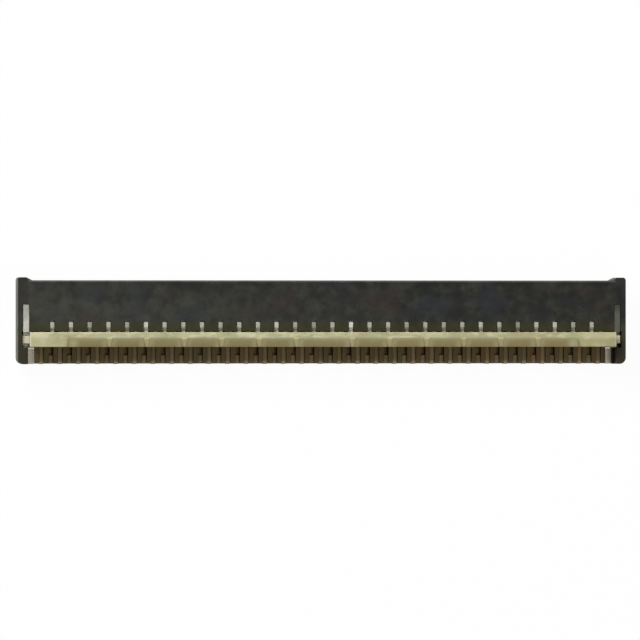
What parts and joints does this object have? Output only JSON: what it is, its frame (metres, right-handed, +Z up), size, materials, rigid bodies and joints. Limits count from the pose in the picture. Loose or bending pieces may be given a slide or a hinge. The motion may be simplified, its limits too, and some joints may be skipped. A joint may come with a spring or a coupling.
{
  "type": "fpc connector",
  "caption": "Low, long board connector for a flat flexible circuit, black housing with an ivory flip lever at the rear, fine staggered contacts and a solder nail at each end.",
  "frame": {"origin": "centre of the connector's footprint on the board's seating plane", "axes": "+X along the row of contacts, +Y towards the side where the cable enters, +Z up from the board; the lever stands open at rest"},
  "size_m": [0.0196, 0.0028, 0.0014],
  "materials": {
    "housing_resin": "black moulded liquid crystal polymer, fine matt grain",
    "lever_resin": "ivory moulded resin, satin",
    "nail_metal": "tin-plated stamped copper alloy, satin",
    "contact_metal": "plated phosphor bronze, stamped, satin"
  },
  "bodies": {
    "housing": {"housing": "housing_resin", "nail_left": "nail_metal", "nail_right": "nail_metal", "rear_contact_01": "contact_metal", "rear_contact_02": "contact_metal", "rear_contact_03": "contact_metal", "rear_contact_04": "contact_metal", "rear_contact_05": "contact_metal", "rear_contact_06": "contact_metal", "rear_contact_07": "contact_metal", "rear_contact_08": "contact_metal", "rear_contact_09": "contact_metal", "rear_contact_10": "contact_metal", "rear_contact_11": "contact_metal", "rear_contact_12": "contact_metal", "rear_contact_13": "contact_metal", "rear_contact_14": "contact_metal", "rear_contact_15": "contact_metal", "rear_contact_16": "contact_metal", "rear_contact_17": "contact_metal", "rear_contact_18": "contact_metal", "rear_contact_19": "contact_metal", "rear_contact_20": "contact_metal", "rear_contact_21": "contact_metal", "rear_contact_22": "contact_metal", "rear_contact_23": "contact_metal", "rear_contact_24": "contact_metal", "rear_contact_25": "contact_metal", "rear_contact_26": "contact_metal", "rear_contact_27": "contact_metal", "rear_contact_28": "contact_metal", "rear_contact_29": "contact_metal", "rear_contact_30": "contact_metal", "rear_contact_31": "contact_metal", "front_contact_pair_01": "contact_metal", "front_contact_pair_02": "contact_metal", "front_contact_pair_03": "contact_metal", "front_contact_pair_04": "contact_metal", "front_contact_pair_05": "contact_metal", "front_contact_pair_06": "contact_metal", "front_contact_pair_07": "contact_metal", "front_contact_pair_08": "contact_metal", "front_contact_pair_09": "contact_metal", "front_contact_pair_10": "contact_metal", "front_contact_pair_11": "contact_metal", "front_contact_pair_12": "contact_metal", "front_contact_pair_13": "contact_metal", "front_contact_pair_14": "contact_metal", "front_contact_pair_15": "contact_metal"},
    "lever": {"lever": "lever_resin"}
  },
  "joints": [
    {"name": "lever_flip", "type": "hinge", "parent": "housing", "child": "lever", "pos_m": [0, -0.0006, 0.00061], "axis": [1, 0, 0], "range_deg": [0, 90]}
  ]
}
